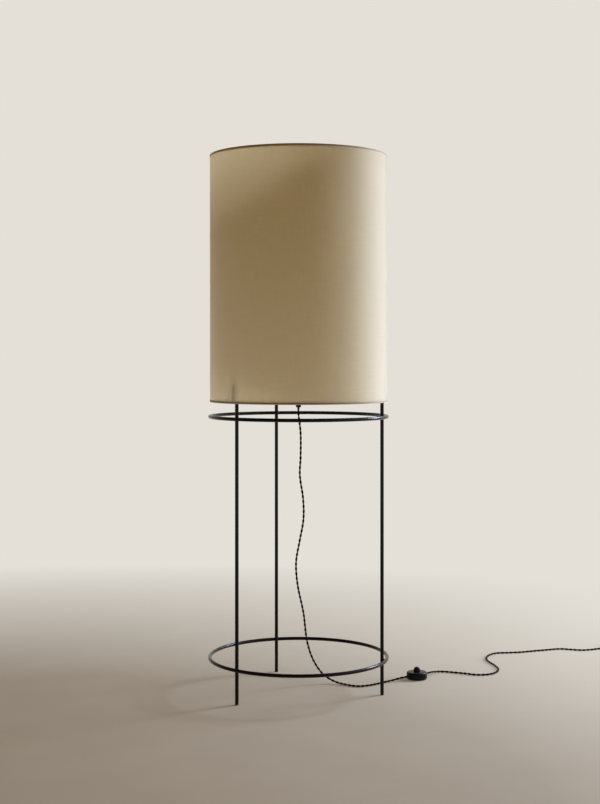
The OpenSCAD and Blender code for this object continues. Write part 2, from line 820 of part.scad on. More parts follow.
module button_spring() {
    count = spring_turns * spring_steps;
    rise = button_seat_z - spring_z - spring_wire_d;
    coils = [for (i = [0 : count])
        [spring_r * cos(360 * i / spring_steps), spring_r * sin(360 * i / spring_steps),
            spring_z + spring_wire_d / 2 + rise * i / count]];
    color(steel) at_switch() tube_along(coils, spring_wire_d / 2, 6);
}

module contact_block() {
    color("#2a2a2a") at_switch() difference() {
        union() {
            translate([-block_l / 2, -block_w / 2, block_z]) cube([block_l, block_w, block_h]);
            for (s = [-1, 1]) translate([s * (block_l / 2 - stop_t / 2) - stop_t / 2, -stop_w / 2, block_z])
                cube([stop_t, stop_w, stop_h]);
            translate([0, 0, block_z]) cylinder(r = rotor_pin_r, h = rotor_pin_z - block_z);
        }
        for (s = [-1, 1]) translate([s > 0 ? strip_in_x : -strip_out_x, -strip_w / 2, strip_z])
            cube([strip_out_x - strip_in_x, strip_w, block_h]);
    }
}

// Rotor that turns an eighth of a turn at each press and joins the two strips
module contact_rotor() {
    color(brass) at_switch() translate([0, 0, rotor_z]) difference() {
        union() {
            cylinder(r = rotor_r - 2, h = rotor_t);
            for (i = [0 : rotor_lobes / 2 - 1]) rotate([0, 0, 180 * i / (rotor_lobes / 2)])
                translate([-rotor_r, -rotor_lobe_w / 2, 0]) cube([2 * rotor_r, rotor_lobe_w, rotor_t]);
        }
        translate([0, 0, -cut]) cylinder(r = rotor_pin_r + fit_gap, h = rotor_t + 2 * cut);
    }
}

module contact_strips() {
    color(brass) at_switch() for (s = [-1, 1])
        translate([s > 0 ? strip_in_x + fit_gap : -strip_out_x + fit_gap, -strip_w / 2 + fit_gap, strip_z])
            cube([strip_out_x - strip_in_x - 2 * fit_gap, strip_w - 2 * fit_gap, strip_t]);
}

module clamp_bars() {
    color("#2a2a2a") at_switch() difference() {
        for (s = [-1, 1]) translate([s * clamp_x - clamp_w / 2, -clamp_l / 2, clamp_z])
            cube([clamp_w, clamp_l, clamp_t]);
        at_clamps() translate([0, 0, clamp_z - cut])
            cylinder(r = clamp_screw_r + fit_gap, h = clamp_t + 2 * cut, $fn = 24);
    }
}

module clamp_screws() {
    color(steel) at_switch() at_clamps() {
        translate([0, 0, clamp_z + clamp_t]) cylinder(r = clamp_head_r, h = clamp_head_h, $fn = 24);
        translate([0, 0, clamp_z - clamp_screw_l])
            cylinder(r = clamp_screw_r, h = clamp_screw_l + clamp_t, $fn = 24);
    }
}

module case_screws() {
    color(steel) at_switch() at_case_screws() {
        translate([0, 0, case_head_z]) cylinder(r = case_head_r, h = case_head_h, $fn = 32);
        translate([0, 0, case_head_z]) cylinder(d = case_screw_d, h = case_screw_l - case_head_z, $fn = 32);
    }
}

// ---- Cord ----

module lamp_cord() {
    color(black) tube_along(smooth_route(lamp_route), cord_r, tube_sides);
}

module mains_cord() {
    color(black) tube_along(smooth_route(mains_route), cord_r, tube_sides);
}

module cord_coil() {
    color(black) tube_along(coil_points, cord_r, coil_sides);
}

module cord_tail() {
    color(black) tube_along(smooth_route(tail_route), cord_r, tube_sides);
}

// ---- Plug: it lies on the floor and points along +Y ----

module at_plug(y = 0) {
    translate([plug_x, plug_y + y, plug_z]) rotate([-90, 0, 0]) children();
}

module plug_relief() {
    thin_r = cord_r + 0.8;
    thick_r = plug_t / 2 - 0.4;
    rib = relief_l / (2 * relief_ribs + 1);
    ribbed = [for (i = [0 : relief_ribs - 1]) for (p = [[0, 0], [rib, 0], [rib, 1], [2 * rib, 1]])
        let (z = 2 * rib * i + p[0]) [thin_r + (thick_r - thin_r) * z / relief_l - rib_depth * p[1], z]];
    color("#111111") at_plug()
        turned(concat([[0, 0]], ribbed, [[thick_r, relief_l - rib], [thick_r, relief_l], [0, relief_l]]));
}

module plug_body() {
    half = plug_w / 2;
    neck = plug_t / 2 + 1;
    round_r = plug_t / 2;
    color("#111111") at_plug(relief_l) intersection() {
        translate([0, plug_t / 2, 0]) rotate([90, 0, 0]) linear_extrude(plug_t) polygon([
            [-neck, 0], [neck, 0], [neck + 2, plug_taper], [half, plug_l / 2], [half, plug_l - 4],
            [half - 2, plug_l], [2 - half, plug_l], [-half, plug_l - 4], [-half, plug_l / 2],
            [-neck - 2, plug_taper]
        ]);
        linear_extrude(plug_l) union() {
            square([plug_w - plug_t, plug_t], center = true);
            for (s = [-1, 1]) translate([s * (half - round_r), 0]) circle(r = round_r);
        }
    }
}

module plug_pins() {
    tip = arc(pin_d / 2 - pin_tip_r, pin_l - pin_tip_r, pin_tip_r, 0, 90);
    color(steel) at_plug(relief_l + plug_l) for (s = [-1, 1]) translate([s * pin_spacing / 2, 0, 0])
        turned(concat([[0, 0], [pin_d / 2, 0]], tip, [[0, pin_l]]));
}

leg(0);  // leg_left
leg(1);  // leg_right
leg(2);  // leg_rear
glide(0);  // glide_left
glide(1);  // glide_right
glide(2);  // glide_rear
bar_ring(upper_ring_z);  // upper_ring
bar_ring(lower_ring_z);  // lower_ring
ring_welds(upper_ring_z);  // upper_ring_welds
ring_welds(lower_ring_z);  // lower_ring_welds
bridge_hub();
bridge_arms();
nipple();
toothed_washer();
lock_nut();
cord_gland();
holder_leads();
holder_cap();
holder_skirt();
holder_insert();
threaded_shell();
centre_contact();
terminal_screws();
bulb_glass();
bulb_cap();
bulb_tip();
bulb_stem();
bulb_filaments();
shade_cover();
shade_liner();
top_wire_ring();
bottom_wire_ring();
spider_arms();
spider_ring();
shade_nut();
switch_base();
switch_cover();
switch_button();
button_spring();
contact_block();
contact_rotor();
contact_strips();
clamp_bars();
clamp_screws();
case_screws();
lamp_cord();
mains_cord();
cord_coil();
cord_tail();
plug_relief();
plug_body();
plug_pins();
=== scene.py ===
# %% [markdown]
# # A column floor lamp, dressed for its portrait
#
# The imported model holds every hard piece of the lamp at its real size. This lesson leaves those solids
# where they are and gives each one the finish of its real material. The soft pieces, which are the linen
# shade and the twisted cord, are made again here as meshes. Lengths are metres, unless a name ends in _mm.

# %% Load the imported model
import math

import bpy
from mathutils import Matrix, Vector


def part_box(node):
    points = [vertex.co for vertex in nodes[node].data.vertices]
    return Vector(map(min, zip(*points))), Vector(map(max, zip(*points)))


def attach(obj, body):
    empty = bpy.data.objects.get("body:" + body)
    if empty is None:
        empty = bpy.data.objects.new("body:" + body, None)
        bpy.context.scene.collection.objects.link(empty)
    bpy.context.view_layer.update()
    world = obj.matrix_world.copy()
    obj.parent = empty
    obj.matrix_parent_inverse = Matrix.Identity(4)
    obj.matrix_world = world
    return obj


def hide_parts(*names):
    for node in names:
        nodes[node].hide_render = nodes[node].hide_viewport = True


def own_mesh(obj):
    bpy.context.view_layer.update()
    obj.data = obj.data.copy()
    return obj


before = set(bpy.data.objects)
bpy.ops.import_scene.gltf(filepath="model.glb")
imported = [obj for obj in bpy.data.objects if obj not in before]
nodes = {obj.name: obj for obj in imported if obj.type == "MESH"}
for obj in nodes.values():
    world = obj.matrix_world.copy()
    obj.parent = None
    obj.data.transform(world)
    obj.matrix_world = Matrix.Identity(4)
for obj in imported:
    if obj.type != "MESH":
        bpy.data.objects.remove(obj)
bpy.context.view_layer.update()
MM = 0.001

# %% [markdown]
# ## The camera
#
# The photograph was taken level, from about four metres. A level camera keeps upright legs upright. The
# horizon then lies above the middle of the picture, so the lens is shifted down a little instead of
# tilting the camera, as an architectural photographer does.

# %% Set up the camera
PHOTO_W, PHOTO_H = 600, 804
FOCAL_PX = 1423.5
HORIZON_PX = 353.3
SENSOR_MM = 36
CAMERA_AT = (0.0043, -4.0253, 0.9522)

camera_data = bpy.data.cameras.new("level_camera")
camera_data.sensor_width = SENSOR_MM
camera_data.lens = SENSOR_MM * FOCAL_PX / PHOTO_H
camera_data.shift_y = (HORIZON_PX - PHOTO_H / 2) / PHOTO_H
camera = bpy.data.objects.new("level_camera", camera_data)
camera.location = CAMERA_AT
camera.rotation_euler = (math.radians(90), 0, 0)
bpy.context.scene.collection.objects.link(camera)
bpy.context.scene.camera = camera
print(f"camera: {camera_data.lens:.1f} mm lens, shifted by {camera_data.shift_y:.3f} of the long side")

# %% [markdown]
# ## Helpers for meshes
#
# A tube, a drum wall and a strand are all grids of points: rings in one direction, sides in the other.
# One function turns such a grid into a mesh with a map whose units are metres on the real surface, so
# that threads can be given in millimetres later.

# %% Turn a grid of points into a mesh
def grid_faces(rows, columns, first=0):
    """Faces of a grid that closes on itself along its columns."""
    return [
        [first + r * columns + c, first + r * columns + (c + 1) % columns,
         first + (r + 1) * columns + (c + 1) % columns, first + (r + 1) * columns + c]
        for r in range(rows - 1) for c in range(columns)
    ]


def piece_from(name, points, faces, face_maps, body="lamp"):
    """Make a smooth mesh object that rides on a body; face_maps holds each face's corners in metres."""
    mesh = bpy.data.meshes.new(name)
    mesh.from_pydata([tuple(p) for p in points], [], faces)
    uv_layer = mesh.uv_layers.new(name="metres")
    corners = [corner for face in face_maps for corner in face]
    uv_layer.data.foreach_set("uv", [value for corner in corners for value in corner])
    mesh.polygons.foreach_set("use_smooth", [True] * len(mesh.polygons))
    mesh.update()
    made = bpy.data.objects.new(name, mesh)
    bpy.context.scene.collection.objects.link(made)
    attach(made, body)
    return made


# %% [markdown]
# ## The cord
#
# A textile cord of this kind is two insulated cores, each in its own braided sleeve, twisted round each
# other. From the cord gland it hangs loosely inside the frame, meets the floor before the right leg, goes
# through the foot switch and wanders off to the right. What the photograph doesn't show is wound in a neat
# coil beside the plug. A curve object with a round bevel would give a plain hose, so the two strands are
# swept as a double helix along a route of listed points.
#
# The points below are in millimetres, and 3.2 is the height of a cord that lies on the floor.

# %% Cord sizes and the points of its route
CORD_D = 6.4 * MM
CORD_R = CORD_D / 2
STRAND_R = CORD_D / 4
TWIST_PITCH = 28 * MM
STRAND_SIDES = 12
CORD_STEP = 2.2 * MM
gland_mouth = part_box("cord_gland")[0].z
switch_low, switch_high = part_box("switch_base")
switch_middle = (switch_low + switch_high) / 2
SWITCH_TURN = math.radians(35)
SWITCH_CORD_Z = 11.5
BLOCK_HALF_MM = 20


def switch_point(x_mm):
    """Point on the cord line of the foot switch, x_mm from its middle, in millimetres."""
    return [
        switch_middle.x / MM + x_mm * math.cos(SWITCH_TURN),
        switch_middle.y / MM + x_mm * math.sin(SWITCH_TURN),
        SWITCH_CORD_Z,
    ]


lamp_route = [
    [0, 0, gland_mouth / MM], [0, 0, 780], [6, 4, 725], [6, 8, 660], [4, 12, 605], [13, 16, 540],
    [14, 20, 480], [3, 25, 417], [-7, 31, 355], [-2, 38, 288], [14, 49, 210], [24, 63, 128],
    [42, 74, 70], [70, 79, 28], [104, 76, 7], [140, 50, 3.2], [172, 33, 3.2], [208, 48, 3.2],
    [245, 81, 3.2], [272, 98, 5], [297, 108, 9.5], switch_point(-38), switch_point(-BLOCK_HALF_MM),
]
floor_route = [
    switch_point(BLOCK_HALF_MM), switch_point(36), [392, 184, 9], [410, 209, 5], [430, 220, 3.2],
    [459, 210, 3.2], [493, 195, 3.2], [528, 177, 3.2], [565, 184, 3.2], [590, 214, 3.2],
    [601, 260, 3.2], [596, 311, 3.2], [585, 360, 3.2], [584, 406, 3.2], [600, 452, 3.2],
    [628, 481, 3.2], [665, 487, 3.2], [705, 495, 3.2], [745, 511, 3.2], [790, 528, 3.2],
    [838, 545, 3.2], [875, 535, 3.2], [905, 526, 3.2], [935, 533, 3.2], [965, 547, 3.2],
    [992, 554, 3.2],
]
plug_route = [[1071, 563, 8.5], [1087, 578, 7], [1092, 598, 6.8], [1092, 612, 6.8]]
print("route points:", len(lamp_route), "to the switch and", len(floor_route) + len(plug_route), "after it")

# %% [markdown]
# The spare cord lies in two layers. The lower layer winds inwards, climbs where the spiral turns back, and
# the upper layer winds outwards again, each turn one cord and a hair away from the next.

# %% Wind the coil
COIL_MIDDLE_MM = (1030, 595)
COIL_R_MM = 40
COIL_PITCH_MM = 6.9
COIL_LOOPS = 4
COIL_TURN_BACK = 2.25
COIL_LEAD_MM = 7
COIL_CLIMB_TURNS = 0.5
COIL_RINGS = 110


def coil_point(u):
    """Point of the coil after u turns, in millimetres."""
    inward = u if u < COIL_TURN_BACK else 2 * COIL_TURN_BACK - u
    radius = COIL_R_MM - COIL_PITCH_MM * inward
    climb = min(1, max(0, (u - COIL_TURN_BACK + COIL_CLIMB_TURNS / 2) / COIL_CLIMB_TURNS))
    angle = 2 * math.pi * u
    return [
        COIL_MIDDLE_MM[0] + radius * math.sin(angle),
        COIL_MIDDLE_MM[1] - radius * math.cos(angle),
        CORD_R / MM + COIL_PITCH_MM * climb,
    ]


coil_line = [coil_point(i / COIL_RINGS) for i in range(COIL_LOOPS * COIL_RINGS + 1)]
coil_in = [[coil_line[0][0] - lead, *coil_line[0][1:]] for lead in (2 * COIL_LEAD_MM, COIL_LEAD_MM)]
coil_out = [[coil_line[-1][0] + lead, *coil_line[-1][1:]] for lead in (COIL_LEAD_MM, 2 * COIL_LEAD_MM)]
print("coil:", COIL_LOOPS, "loops,", round(2 * COIL_R_MM + CORD_D / MM), "mm across")


# %% Smooth the route and space its points evenly
def curve_point(a, b, c, d, t):
    """Point on the smooth curve between b and c; a and d are their neighbours."""
    return 0.5 * (2 * b + (c - a) * t + (2 * a - 5 * b + 4 * c - d) * t**2 + (3 * b - a - 3 * c + d) * t**3)


def smooth_route(points_mm):
    """Dense line in metres through the given points, no lower than the floor allows."""
    chosen = [Vector(p) * MM for p in points_mm]
    chosen = [2 * chosen[0] - chosen[1], *chosen, 2 * chosen[-1] - chosen[-2]]
    line = []
    for a, b, c, d in zip(chosen, chosen[1:], chosen[2:], chosen[3:]):
        steps = max(1, round((c - b).length / CORD_STEP))
        line += [curve_point(a, b, c, d, s / steps) for s in range(steps)]
    line.append(chosen[-2])
    return [Vector((p.x, p.y, max(p.z, CORD_R))) for p in line]


def spaced(line, step):
    """The same line with a point at every step."""
    total = length_of(line)
    count = max(2, round(total / step))
    gap, made, walked = total / count, [line[0]], 0
    for a, b in zip(line, line[1:]):
        length = (b - a).length
        while len(made) <= count - 1 and walked + length >= gap * len(made):
            made.append(a.lerp(b, (gap * len(made) - walked) / length))
        walked += length
    return made + [line[-1]]


def length_of(line):
    """Length of a line of points."""
    return sum((b - a).length for a, b in zip(line, line[1:]))


lamp_line = spaced(smooth_route(lamp_route), CORD_STEP)
mains_line = spaced(
    smooth_route(floor_route + coil_in)
    + [Vector(p) * MM for p in coil_line]
    + smooth_route([*coil_out, *plug_route]),
    CORD_STEP,
)
print(f"cord: {length_of(lamp_line):.3f} m to the switch, {length_of(mains_line):.3f} m from it to the plug")


# %% Sweep two twisted strands along a line
def carried_sides(line):
    """A tangent and a side vector at each point, carried along without twist."""
    neighbours = zip([line[0], *line[:-1]], [*line[1:], line[-1]])
    tangents = [(after - before).normalized() for before, after in neighbours]
    side = tangents[0].orthogonal().normalized()
    sides = []
    for tangent in tangents:
        side = (side - side.dot(tangent) * tangent).normalized()
        sides.append(side)
    return tangents, sides


def helix_strand(line, turn):
    """Middle line of one strand, which starts turned by the given angle."""
    tangents, sides = carried_sides(line)
    walked, made = 0, []
    for i, (point, tangent, side) in enumerate(zip(line, tangents, sides)):
        walked += (line[i] - line[i - 1]).length if i else 0
        angle = turn + 2 * math.pi * walked / TWIST_PITCH
        across = math.cos(angle) * side + math.sin(angle) * tangent.cross(side)
        made.append(point + STRAND_R * across)
    return made


def tube(line, radius, columns, first):
    """Points, faces and map of a closed round tube along a line."""
    tangents, sides = carried_sides(line)
    points, along, walked = [], [], 0
    for i, (point, tangent, side) in enumerate(zip(line, tangents, sides)):
        walked += (line[i] - line[i - 1]).length if i else 0
        along.append(walked)
        for k in range(columns):
            angle = 2 * math.pi * k / columns
            points.append(point + radius * (math.cos(angle) * side + math.sin(angle) * tangent.cross(side)))
    faces = grid_faces(len(line), columns, first)
    arc = 2 * math.pi * radius / columns
    maps = [
        [(start, c * arc), (start, (c + 1) * arc), (end, (c + 1) * arc), (end, c * arc)]
        for start, end in zip(along, along[1:]) for c in range(columns)
    ]
    last = first + (len(line) - 1) * columns
    caps = [list(range(first + columns - 1, first - 1, -1)), list(range(last, last + columns))]
    turns = [2 * math.pi * k / columns for k in range(columns)]
    cap_map = [(radius * math.cos(turn), radius * math.sin(turn)) for turn in turns]
    return points, faces + caps, maps + [cap_map, cap_map]


def twisted_cord(name, line):
    """One object that holds both strands."""
    points, faces, maps = [], [], []
    for turn in (0, math.pi):
        strand = tube(helix_strand(line, turn), STRAND_R, STRAND_SIDES, len(points))
        points, faces, maps = points + strand[0], faces + strand[1], maps + strand[2]
    return piece_from(name, points, faces, maps)


lamp_cord = twisted_cord("twisted_lamp_cord", lamp_line)
mains_cord = twisted_cord("twisted_mains_cord", mains_line)
print("twisted cords:", len(lamp_cord.data.polygons) + len(mains_cord.data.polygons), "faces")

# %% [markdown]
# On the real switch the spring under the button stays on its seat and grows shorter by the button's stroke.
# A copy of its solid stands in for it, because only a piece of the dressed lamp can be squashed.

# %% Spring under the button
spring_solid = nodes["button_spring"]
spring = bpy.data.objects.new("return_spring", spring_solid.data.copy())
spring.matrix_world = spring_solid.matrix_world
bpy.context.scene.collection.objects.link(spring)
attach(spring, "lamp")
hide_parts("button_spring")
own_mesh(spring)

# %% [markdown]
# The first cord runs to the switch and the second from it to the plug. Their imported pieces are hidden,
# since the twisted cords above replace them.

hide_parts("lamp_cord")
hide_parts("mains_cord", "cord_coil", "cord_tail")

# %% [markdown]
# ## The shade
#
# A drum shade like this is linen laid on a stiff white film, rolled into a cylinder and glued in one lap
# seam. Its edges are folded round a wire ring and tucked in behind it, which leaves a narrow bead at the
# top and the bottom. The section below follows the middle of the cloth. It is turned round the axis with
# points added at the seam, and the two sides of the cloth lie half its thickness to either side.

# %% Shade sizes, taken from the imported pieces
cover_low, cover_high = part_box("shade_cover")
shade_r = cover_high.x
CLOTH_T = 0.6 * MM
wall_r = shade_r - CLOTH_T / 2
hem_section_mm = [
    (-3.5, 7.0), (-3.5, 4.4), (-3.5, 1.9), (-3.1, 0.8), (-2.0, 0.3), (-0.5, 0.35), (0.45, 1.1),
    (0.7, 2.3), (0.6, 3.6), (0.2, 4.6), (-0.12, 5.1), (0.0, 6.0),
]
WALL_ROWS = 26
DRUM_COLUMNS = 216
SEAM_AT = math.radians(90)
LAP_FADE = 45 * MM
print(f"shade: {2 * shade_r * 1000:.0f} mm across, {(cover_high.z - cover_low.z) * 1000:.0f} mm high")


# %% Draw the section of the cloth and thicken it
def cloth_section():
    """Middle line of the cloth from the inner edge of the lower roll to that of the upper roll."""
    low = [(wall_r + x * MM, cover_low.z + z * MM) for x, z in hem_section_mm]
    high = [(wall_r + x * MM, cover_high.z - z * MM) for x, z in reversed(hem_section_mm)]
    first, last = low[-1][1], high[0][1]
    wall = [(wall_r, first + (last - first) * i / WALL_ROWS) for i in range(1, WALL_ROWS)]
    return low + wall + high


def shifted(line, distance):
    """The section moved sideways by a distance, to the right of its direction."""
    made = []
    for i, (r, z) in enumerate(line):
        before, after = line[max(i - 1, 0)], line[min(i + 1, len(line) - 1)]
        dr, dz = after[0] - before[0], after[1] - before[1]
        size = math.hypot(dr, dz)
        made.append((r + distance * dz / size, z - distance * dr / size))
    return made


section = cloth_section()
loop = shifted(section, CLOTH_T / 2) + shifted(section, -CLOTH_T / 2)[::-1]
outer_count = len(section)
print("cloth section:", len(loop), "points")

# %% Turn the section round the axis, with a lap seam at the back
SEAM_TO_EDGE = 6 * MM
WALL_START, WALL_END = cover_low.z + SEAM_TO_EDGE, cover_high.z - SEAM_TO_EDGE
SLACK = 0.22 * MM
BROAD_WAVES, BROAD_DRIFT = 5, 3.1
NARROW_WAVES, NARROW_DRIFT, NARROW_SHARE = 11, 5.3, 0.6
SEAM_EDGE = 0.7 * MM
SEAM_COLUMNS_MM = (-0.5, -0.3, 0.35, 0.6, 1.5, 4, 12, 20, 30)


def seam_rise(angle, z):
    """How far the outer side stands proud near the lap seam."""
    along = ((angle - SEAM_AT + math.pi) % (2 * math.pi) - math.pi) * wall_r
    if not WALL_START < z < WALL_END or along < -SEAM_EDGE / 2 or along > LAP_FADE:
        return 0
    if along < SEAM_EDGE / 2:
        return CLOTH_T * (along / SEAM_EDGE + 0.5)
    return CLOTH_T * (1 - along / LAP_FADE) ** 2


def slack(angle, z):
    """Gentle unevenness of cloth on film, under half a millimetre."""
    height = (z - cover_low.z) / (cover_high.z - cover_low.z)
    belly = math.sin(math.pi * min(1, max(0, height)))
    broad = math.sin(BROAD_WAVES * angle + BROAD_DRIFT * height)
    narrow = math.sin(NARROW_WAVES * angle - NARROW_DRIFT * height + 1)
    return SLACK * belly * (broad + NARROW_SHARE * narrow)


even = [2 * math.pi * k / DRUM_COLUMNS for k in range(DRUM_COLUMNS)]
extra = [SEAM_AT + s * MM / wall_r for s in SEAM_COLUMNS_MM]
angles = sorted(even + extra)
columns = len(angles)
points, maps = [], []
for row, (r, z) in enumerate(loop):
    for angle in angles:
        proud = seam_rise(angle, z) if row < outer_count else 0
        reach = r + proud + slack(angle, z)
        points.append(Vector((reach * math.cos(angle), reach * math.sin(angle), z)))
walked = [0]
for a, b in zip(loop, loop[1:] + loop[:1]):
    walked.append(walked[-1] + math.hypot(b[0] - a[0], b[1] - a[1]))
faces = []
for row in range(len(loop)):
    after = (row + 1) % len(loop)
    for k in range(columns):
        side = (k + 1) % columns
        faces.append([row * columns + k, row * columns + side, after * columns + side, after * columns + k])
        left, right = angles[k] * shade_r, (angles[side] + (2 * math.pi if side == 0 else 0)) * shade_r
        low, high = walked[row], walked[row + 1]
        maps.append([(left, low), (right, low), (right, high), (left, high)])
shade_cover = piece_from("linen_shade_cover", points, faces, maps)
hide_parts("shade_cover")
print("shade cover:", len(shade_cover.data.polygons), "faces")

# %% [markdown]
# ## Helpers for materials
#
# Colours are written as sRGB hex values, as a colour picker shows them, and one function turns them into
# the linear numbers that a shader needs. One more function adds any shader node with its settings and its
# links. The last one starts a material with one Principled shader, whose fixed numbers sit on its own
# sockets, so that they survive an export.

# %% Colour and node helpers
def linear(hex_colour):
    """sRGB hex colour as linear red, green, blue and alpha."""
    parts = [int(hex_colour[i:i + 2], 16) / 255 for i in (1, 3, 5)]
    return [p / 12.92 if p <= 0.04045 else ((p + 0.055) / 1.055) ** 2.4 for p in parts] + [1]


def add(tree, kind, sockets=None, **settings):
    """Add a shader node; sockets fills its inputs with values or with other nodes' outputs."""
    made = tree.nodes.new("ShaderNode" + kind)
    for name, value in settings.items():
        setattr(made, name, value)
    for socket, value in (sockets or {}).items():
        if isinstance(value, bpy.types.NodeSocket):
            tree.links.new(value, made.inputs[socket])
        else:
            made.inputs[socket].default_value = value
    return made


def per_mm(size_mm):
    """How many features of that size fit in a metre, which is what a texture's scale wants."""
    return 1 / (size_mm * MM)


def start_material(name, colour, roughness, metallic=0.0, ior=1.5, **more):
    """A material with one Principled shader; returns it, its tree and the shader."""
    material = bpy.data.materials.new(name)
    material.use_nodes = True
    tree = material.node_tree
    tree.nodes.clear()
    shader = add(tree, "BsdfPrincipled", {
        "Base Color": linear(colour), "Roughness": roughness, "Metallic": metallic, "IOR": ior,
    })
    for socket, value in more.items():
        shader.inputs[socket.replace("_", " ")].default_value = value
    add(tree, "OutputMaterial", {"Surface": shader.outputs[0]})
    return material, tree, shader


def dress(material, *names):
    """Give CAD nodes a material, and print how many."""
    for name in names:
        mesh = nodes[name].data
        mesh.materials.clear()
        mesh.materials.append(material)
    print(material.name, "on", len(names), "CAD nodes")


WEAR_PER_GRAIN = 14


def grain(tree, shader, size_mm, depth_mm, detail=3.0, dull=None):
    """Fine relief from noise; dull = (least, most) also lets the roughness wander with it."""
    place = add(tree, "TexCoord").outputs["Object"]
    noise = add(tree, "TexNoise", {"Vector": place, "Scale": per_mm(size_mm), "Detail": detail})
    bump = add(tree, "Bump", {"Height": noise.outputs[0], "Distance": depth_mm * MM, "Strength": 1.0})
    tree.links.new(bump.outputs[0], shader.inputs["Normal"])
    if dull:
        wander = add(tree, "TexNoise", {
            "Vector": place, "Scale": per_mm(size_mm * WEAR_PER_GRAIN), "Detail": 2.0,
        })
        spread = add(tree, "MapRange", {
            "Value": wander.outputs[0], "From Min": 0.3, "From Max": 0.7,
            "To Min": dull[0], "To Max": dull[1],
        })
        tree.links.new(spread.outputs[0], shader.inputs["Roughness"])
    return noise


print("middle grey #808080 in linear numbers:", [round(x, 3) for x in linear("#808080")[:3]])

# %% [markdown]
# ## The frame: powder-coated steel bar
#
# Powder coat is a baked polymer skin, so it isn't metallic. The powder flows into a very fine orange peel,
# which breaks up the long highlights on the bars. The welds wear the same skin. In the photograph the bars
# are blacker than most powder coat, so the colour is nearly 0 and the specular level is half the usual.
# The holder's resin, the foot switch and the cord are darkened in the same way.

# %% Powder coat
powder_coat, tree, shader = start_material("black_powder_coat", "#050404", 0.22, Specular_IOR_Level=0.25)
grain(tree, shader, size_mm=1.3, depth_mm=0.004, dull=(0.21, 0.25))
dress(
    powder_coat, "leg_left", "leg_right", "leg_rear", "upper_ring", "lower_ring", "upper_ring_welds",
    "lower_ring_welds", "bridge_hub", "bridge_arms",
)

# %% [markdown]
# The glides under the legs are moulded nylon. Nylon is a little waxy and scatters light in its skin, and
# dragging on a floor wears it dull.

# %% Nylon glides
nylon, tree, shader = start_material("moulded_nylon", "#161616", 0.55, ior=1.53)
grain(tree, shader, size_mm=0.6, depth_mm=0.04, dull=(0.48, 0.7))
dress(nylon, "glide_left", "glide_right", "glide_rear")

# %% [markdown]
# ## Small hardware
#
# Zinc-plated steel is a bluish grey metal with a soft shine and cloudy patches where the plating ran
# thicker. Brass contacts are stamped from rolled strip, so they show faint streaks along the rolling
# direction. Nickel on the bulb's cap is warmer and brighter than zinc.

# %% Zinc-plated steel
zinc, tree, shader = start_material("zinc_plated_steel", "#b9bec2", 0.34, metallic=1.0)
clouds = grain(tree, shader, size_mm=1.6, depth_mm=0.02, dull=(0.26, 0.46))
tint = add(tree, "ValToRGB", {"Fac": clouds.outputs[0]})
tint.color_ramp.elements[0].color = linear("#a3a9af")
tint.color_ramp.elements[1].color = linear("#c9ccce")
tree.links.new(tint.outputs[0], shader.inputs["Base Color"])
dress(
    zinc, "nipple", "toothed_washer", "lock_nut", "terminal_screws", "top_wire_ring", "bottom_wire_ring",
    "clamp_screws", "case_screws",
)
spring.data.materials.clear()
spring.data.materials.append(zinc)


# %% Rolled metals: brass and nickel
def rolled_metal(name, light, dark, roughness):
    """A metal with faint streaks from the rolling mill."""
    material, tree, shader = start_material(name, light, roughness, metallic=1.0)
    place = add(tree, "TexCoord").outputs["Object"]
    stretched = add(tree, "Mapping", {"Vector": place, "Scale": (per_mm(9), per_mm(9), per_mm(0.5))})
    streaks = add(tree, "TexNoise", {"Vector": stretched.outputs[0], "Scale": 1.0, "Detail": 4.0})
    tint = add(tree, "ValToRGB", {"Fac": streaks.outputs[0]})
    tint.color_ramp.elements[0].position = 0.3
    tint.color_ramp.elements[0].color = linear(dark)
    tint.color_ramp.elements[1].position = 0.7
    tint.color_ramp.elements[1].color = linear(light)
    bump = add(tree, "Bump", {"Height": streaks.outputs[0], "Distance": 0.01 * MM})
    tree.links.new(tint.outputs[0], shader.inputs["Base Color"])
    tree.links.new(bump.outputs[0], shader.inputs["Normal"])
    return material


brass = rolled_metal("stamped_brass", "#d9b978", "#b8955a", 0.3)
dress(brass, "threaded_shell", "centre_contact", "contact_rotor", "contact_strips")
nickel = rolled_metal("nickel_plate", "#d2cec4", "#b4b0a7", 0.22)
dress(nickel, "bulb_cap", "plug_pins")

# %% [markdown]
# ## The lamp holder
#
# The holder's cap, skirt and clamping ring, and the gland below, are pressed from phenolic resin, which
# most people call by its old trade word: a hard, heavy, nearly black plastic with a quiet gloss. Inside
# sits a glazed porcelain disc, whose glaze pools into a glassy skin.

# %% Phenolic resin and porcelain
phenolic, tree, shader = start_material("pressed_phenolic", "#0a0909", 0.3, ior=1.63, Specular_IOR_Level=0.2)
grain(tree, shader, size_mm=2.2, depth_mm=0.015, dull=(0.22, 0.38))
dress(phenolic, "cord_gland", "holder_cap", "holder_skirt", "shade_nut", "contact_block", "clamp_bars")

porcelain, tree, shader = start_material("glazed_porcelain", "#e8e5dc", 0.16, ior=1.52, Coat_Weight=0.4)
grain(tree, shader, size_mm=3.0, depth_mm=0.03, dull=(0.1, 0.24))
dress(porcelain, "holder_insert")

silicone, tree, shader = start_material("silicone_lead_sleeve", "#8a5a3c", 0.5, ior=1.43)
grain(tree, shader, size_mm=0.8, depth_mm=0.02, dull=(0.42, 0.6))
dress(silicone, "holder_leads")

# %% [markdown]
# ## The bulb
#
# The glass is a thin blown shell, so both of its faces are modelled and it needs no trick to look hollow.
# Blown glass carries faint waves. The four glowing strips are coated with a yellow phosphor, which looks
# mustard when the lamp is off.

# %% Glass, insulator and filaments
glass, tree, shader = start_material(
    "blown_soda_glass", "#fbfaf5", 0.02, ior=1.52, Transmission_Weight=1.0,
)
grain(tree, shader, size_mm=26, depth_mm=0.12, detail=1.0)
dress(glass, "bulb_glass", "bulb_stem")

